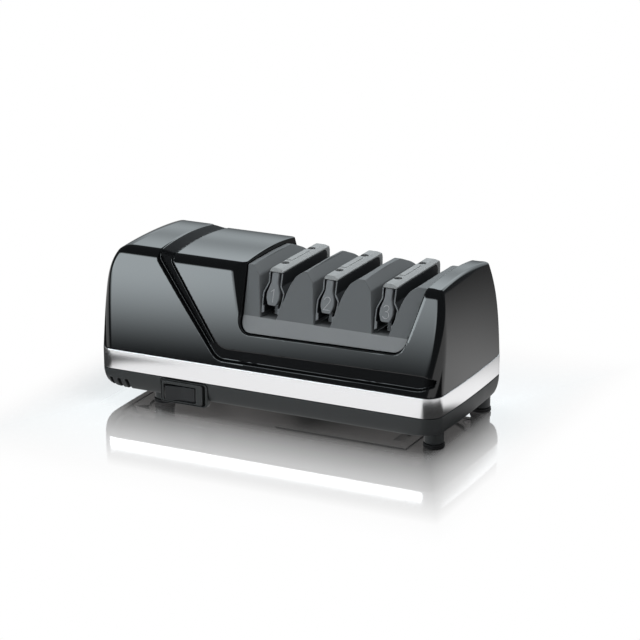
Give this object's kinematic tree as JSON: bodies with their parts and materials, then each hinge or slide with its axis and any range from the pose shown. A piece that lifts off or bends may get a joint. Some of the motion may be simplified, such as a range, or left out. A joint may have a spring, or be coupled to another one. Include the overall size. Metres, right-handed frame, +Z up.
{
  "type": "electric knife sharpener",
  "caption": "Bench-top electric knife sharpener: a long rounded body with a silver band, a rocker switch and three pairs of guided blade slots over motor-driven discs.",
  "frame": {"origin": "on the floor under the middle of the body, at the middle of its length and of its depth", "axes": "+X along the length to the right, +Y to the back, +Z up; the switch is at the front, on -Y"},
  "size_m": [0.248, 0.1158, 0.1072],
  "materials": {
    "gloss_black": "polished moulded black",
    "satin_black": "fine satin texture",
    "silver_band": "satin silver",
    "module_grey": "satin dark grey",
    "guide_grey": "satin grey",
    "rubber": "matte",
    "steel": "machined",
    "copper": "enamelled copper winding",
    "abrasive": "fine abrasive coating"
  },
  "bodies": {
    "housing": {"upper_housing": "gloss_black", "trim_band": "silver_band", "base_pan": "satin_black", "foot_pad_front_left": "rubber", "foot_pad_front_right": "rubber", "foot_pad_rear_left": "rubber", "foot_pad_rear_right": "rubber", "housing_screw_1": "steel", "housing_screw_2": "steel", "housing_screw_3": "steel", "housing_screw_4": "steel", "switch_bezel": "satin_black", "switch_body": "rubber", "cord_gland": "rubber", "guide_module": "module_grey", "guide_tower_1": "guide_grey", "guide_rail_1": "guide_grey", "rail_screw_1_front": "steel", "rail_screw_1_rear": "steel", "guide_tower_2": "guide_grey", "guide_rail_2": "guide_grey", "rail_screw_2_front": "steel", "rail_screw_2_rear": "steel", "guide_tower_3": "guide_grey", "guide_rail_3": "guide_grey", "rail_screw_3_front": "steel", "rail_screw_3_rear": "steel", "stator_core": "steel", "field_coil_upper": "copper", "field_coil_lower": "copper", "motor_bracket_left": "steel", "motor_bracket_right": "steel", "motor_bearing_left": "steel", "motor_bearing_right": "steel", "end_bearing": "steel"},
    "spindle": {"drive_shaft": "steel", "rotor_core": "steel", "cooling_fan": "satin_black", "disc_spring_1": "steel", "disc_spring_2": "steel", "disc_spring_3": "steel"},
    "disc_1_left": {"disc_1_left": "abrasive"},
    "disc_1_right": {"disc_1_right": "abrasive"},
    "disc_2_left": {"disc_2_left": "abrasive"},
    "disc_2_right": {"disc_2_right": "abrasive"},
    "disc_3_left": {"disc_3_left": "abrasive"},
    "disc_3_right": {"disc_3_right": "abrasive"},
    "guide_leaf_1_left": {"guide_leaf_1_left": "guide_grey"},
    "guide_leaf_1_right": {"guide_leaf_1_right": "guide_grey"},
    "guide_leaf_2_left": {"guide_leaf_2_left": "guide_grey"},
    "guide_leaf_2_right": {"guide_leaf_2_right": "guide_grey"},
    "guide_leaf_3_left": {"guide_leaf_3_left": "guide_grey"},
    "guide_leaf_3_right": {"guide_leaf_3_right": "guide_grey"},
    "rocker": {"switch_rocker": "satin_black"},
    "dresser": {"dressing_lever": "satin_black", "dressing_pad": "abrasive"},
    "chip_door": {"shavings_cover": "satin_black", "shavings_magnet": "steel"}
  },
  "joints": [
    {"name": "spindle_spin", "type": "hinge", "parent": "housing", "child": "spindle", "pos_m": [0, 0, 0.044], "axis": [1, 0, 0], "continuous": true},
    {"name": "disc_1_left_slide", "type": "slide", "parent": "spindle", "child": "disc_1_left", "axis": [1, 0, 0], "range_m": [0, 0.001], "stiffness_N_per_m": 600, "springref_m": -0.002, "deforming": ["disc_spring_1"]},
    {"name": "disc_1_right_slide", "type": "slide", "parent": "spindle", "child": "disc_1_right", "axis": [-1, 0, 0], "range_m": [0, 0.001], "stiffness_N_per_m": 600, "springref_m": -0.002, "deforming": ["disc_spring_1"]},
    {"name": "disc_2_left_slide", "type": "slide", "parent": "spindle", "child": "disc_2_left", "axis": [1, 0, 0], "range_m": [0, 0.001], "stiffness_N_per_m": 600, "springref_m": -0.002, "deforming": ["disc_spring_2"]},
    {"name": "disc_2_right_slide", "type": "slide", "parent": "spindle", "child": "disc_2_right", "axis": [-1, 0, 0], "range_m": [0, 0.001], "stiffness_N_per_m": 600, "springref_m": -0.002, "deforming": ["disc_spring_2"]},
    {"name": "disc_3_left_slide", "type": "slide", "parent": "spindle", "child": "disc_3_left", "axis": [1, 0, 0], "range_m": [0, 0.001], "stiffness_N_per_m": 600, "springref_m": -0.002, "deforming": ["disc_spring_3"]},
    {"name": "disc_3_right_slide", "type": "slide", "parent": "spindle", "child": "disc_3_right", "axis": [-1, 0, 0], "range_m": [0, 0.001], "stiffness_N_per_m": 600, "springref_m": -0.002, "deforming": ["disc_spring_3"]},
    {"name": "leaf_1_left_flex", "type": "hinge", "parent": "housing", "child": "guide_leaf_1_left", "pos_m": [-0.0038, 0, 0.1], "axis": [0, -1, 0], "range_deg": [0, 3.5], "stiffness_Nm_per_rad": 0.05, "springref_deg": -3.44},
    {"name": "leaf_1_right_flex", "type": "hinge", "parent": "housing", "child": "guide_leaf_1_right", "pos_m": [0.0042, 0, 0.1], "axis": [0, 1, 0], "range_deg": [0, 3.5], "stiffness_Nm_per_rad": 0.05, "springref_deg": -3.44},
    {"name": "leaf_2_left_flex", "type": "hinge", "parent": "housing", "child": "guide_leaf_2_left", "pos_m": [0.0354, 0, 0.1], "axis": [0, -1, 0], "range_deg": [0, 3.5], "stiffness_Nm_per_rad": 0.05, "springref_deg": -3.44},
    {"name": "leaf_2_right_flex", "type": "hinge", "parent": "housing", "child": "guide_leaf_2_right", "pos_m": [0.0434, 0, 0.1], "axis": [0, 1, 0], "range_deg": [0, 3.5], "stiffness_Nm_per_rad": 0.05, "springref_deg": -3.44},
    {"name": "leaf_3_left_flex", "type": "hinge", "parent": "housing", "child": "guide_leaf_3_left", "pos_m": [0.0746, 0, 0.1], "axis": [0, -1, 0], "range_deg": [0, 3.5], "stiffness_Nm_per_rad": 0.05, "springref_deg": -3.44},
    {"name": "leaf_3_right_flex", "type": "hinge", "parent": "housing", "child": "guide_leaf_3_right", "pos_m": [0.0826, 0, 0.1], "axis": [0, 1, 0], "range_deg": [0, 3.5], "stiffness_Nm_per_rad": 0.05, "springref_deg": -3.44},
    {"name": "power_switch", "type": "hinge", "parent": "housing", "child": "rocker", "pos_m": [-0.0608, -0.05079, 0.014], "axis": [0, 0, 1], "range_deg": [-12, 0]},
    {"name": "dressing_swing", "type": "hinge", "parent": "housing", "child": "dresser", "pos_m": [0.0786, 0.04, 0.03], "axis": [0, 0, 1], "range_deg": [-7, 7], "stiffness_Nm_per_rad": 0.1},
    {"name": "chip_door_drop", "type": "slide", "parent": "housing", "child": "chip_door", "axis": [0, 0, -1], "range_m": [0, 0.008]}
  ]
}
